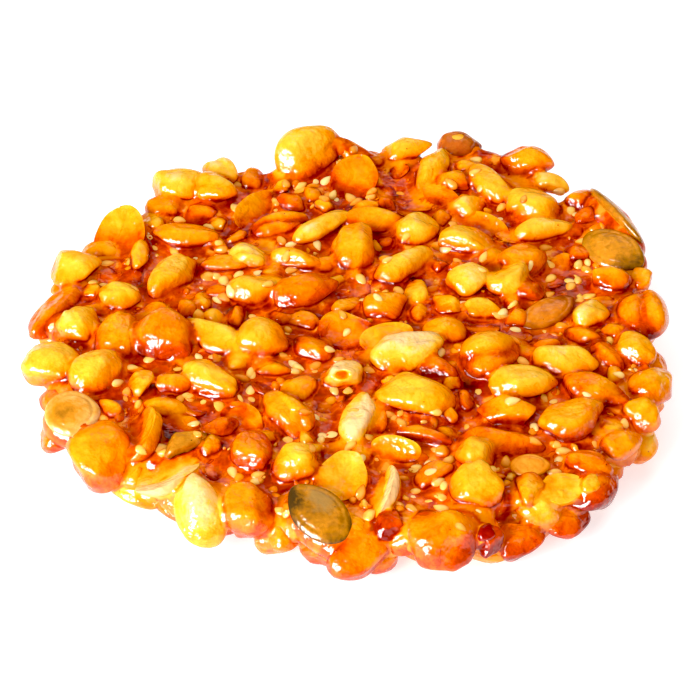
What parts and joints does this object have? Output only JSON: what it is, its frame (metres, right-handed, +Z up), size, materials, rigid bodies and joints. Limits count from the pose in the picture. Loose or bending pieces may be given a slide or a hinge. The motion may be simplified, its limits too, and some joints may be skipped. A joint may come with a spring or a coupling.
{
  "type": "nut brittle piece",
  "caption": "Round, flat-bottomed piece of peanut brittle: peanuts, sesame and pumpkin seeds set close together in glossy amber caramel, with an uneven rim.",
  "frame": {"origin": "under the middle of the piece, on the flat face that it rests on", "axes": "+Z up through the thickness, +Y towards the side away from the viewer, +X to the viewer's right"},
  "size_m": [0.1282, 0.1284, 0.0184],
  "materials": {
    "caramel_nuts": "glossy hard caramel over peanuts, amber to red-brown where it is thick, golden yellow over the nuts",
    "pumpkin_seed": "olive green to grey-brown seed skin under a thin glossy glaze"
  },
  "bodies": {
    "root": {"brittle": "caramel_nuts", "pumpkin_seed_front": "pumpkin_seed", "pumpkin_seed_left": "pumpkin_seed", "pumpkin_seed_edge": "pumpkin_seed", "pumpkin_seed_right": "pumpkin_seed", "pumpkin_seed_inner": "pumpkin_seed", "pumpkin_seed_small": "pumpkin_seed"}
  },
  "joints": []
}
